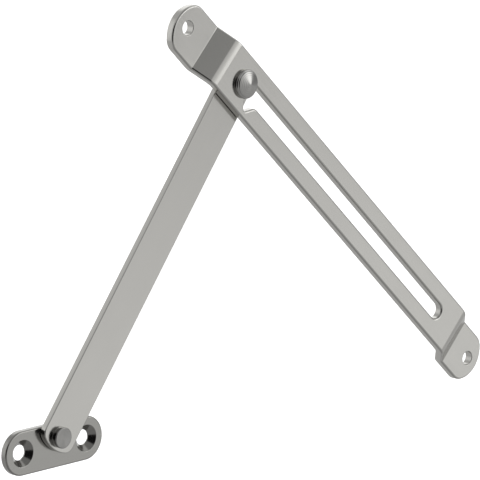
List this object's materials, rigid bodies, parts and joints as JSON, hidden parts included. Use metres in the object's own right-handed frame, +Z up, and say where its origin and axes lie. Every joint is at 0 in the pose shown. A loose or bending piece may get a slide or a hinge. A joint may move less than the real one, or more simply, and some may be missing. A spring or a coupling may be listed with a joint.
{
  "type": "friction stay hinge",
  "caption": "Slotted steel rail with stepped screw tabs and a hold-open notch, and a flat arm that slides on a headed stud and pivots on a countersunk base plate.",
  "frame": {"origin": "centre of the rail's upper screw hole, on the mounting plane", "axes": "+Z up, -Y out from the mounting plane towards the viewer, and +X to the right, towards the rail's lower end"},
  "size_m": [0.2229, 0.0108, 0.1455],
  "materials": {
    "satin_nickel": "satin nickel plating on pressed steel, with a faint lengthwise grain",
    "turned_steel": "satin nickel plating on turned steel, with concentric tool marks",
    "dark_nylon": "dark moulded nylon, matte"
  },
  "bodies": {
    "rail": {"slotted_rail": "satin_nickel"},
    "slider": {"slide_bush": "dark_nylon", "slide_washer": "dark_nylon"},
    "arm": {"stay_arm": "satin_nickel", "slide_stud": "turned_steel", "stud_tail_washer": "turned_steel"},
    "plate": {"base_plate": "satin_nickel", "pivot_rivet": "turned_steel", "pivot_spacer": "dark_nylon"}
  },
  "joints": [
    {"name": "stud_slide", "type": "slide", "parent": "rail", "child": "slider", "axis": [0.7206, 0, -0.6934], "range_m": [0, 0.13]},
    {"name": "arm_swing", "type": "hinge", "parent": "slider", "child": "arm", "pos_m": [0.02061, 0, -0.01983], "axis": [0, 1, 0], "range_deg": [0, 82.5]},
    {"name": "plate_pivot", "type": "hinge", "parent": "arm", "child": "plate", "pos_m": [-0.05884, 0, -0.12336], "axis": [0, 1, 0], "continuous": true}
  ],
  "couplings": [
    {"joint": "arm_swing", "follows": "stud_slide", "rad_per_m": 11.056}
  ]
}
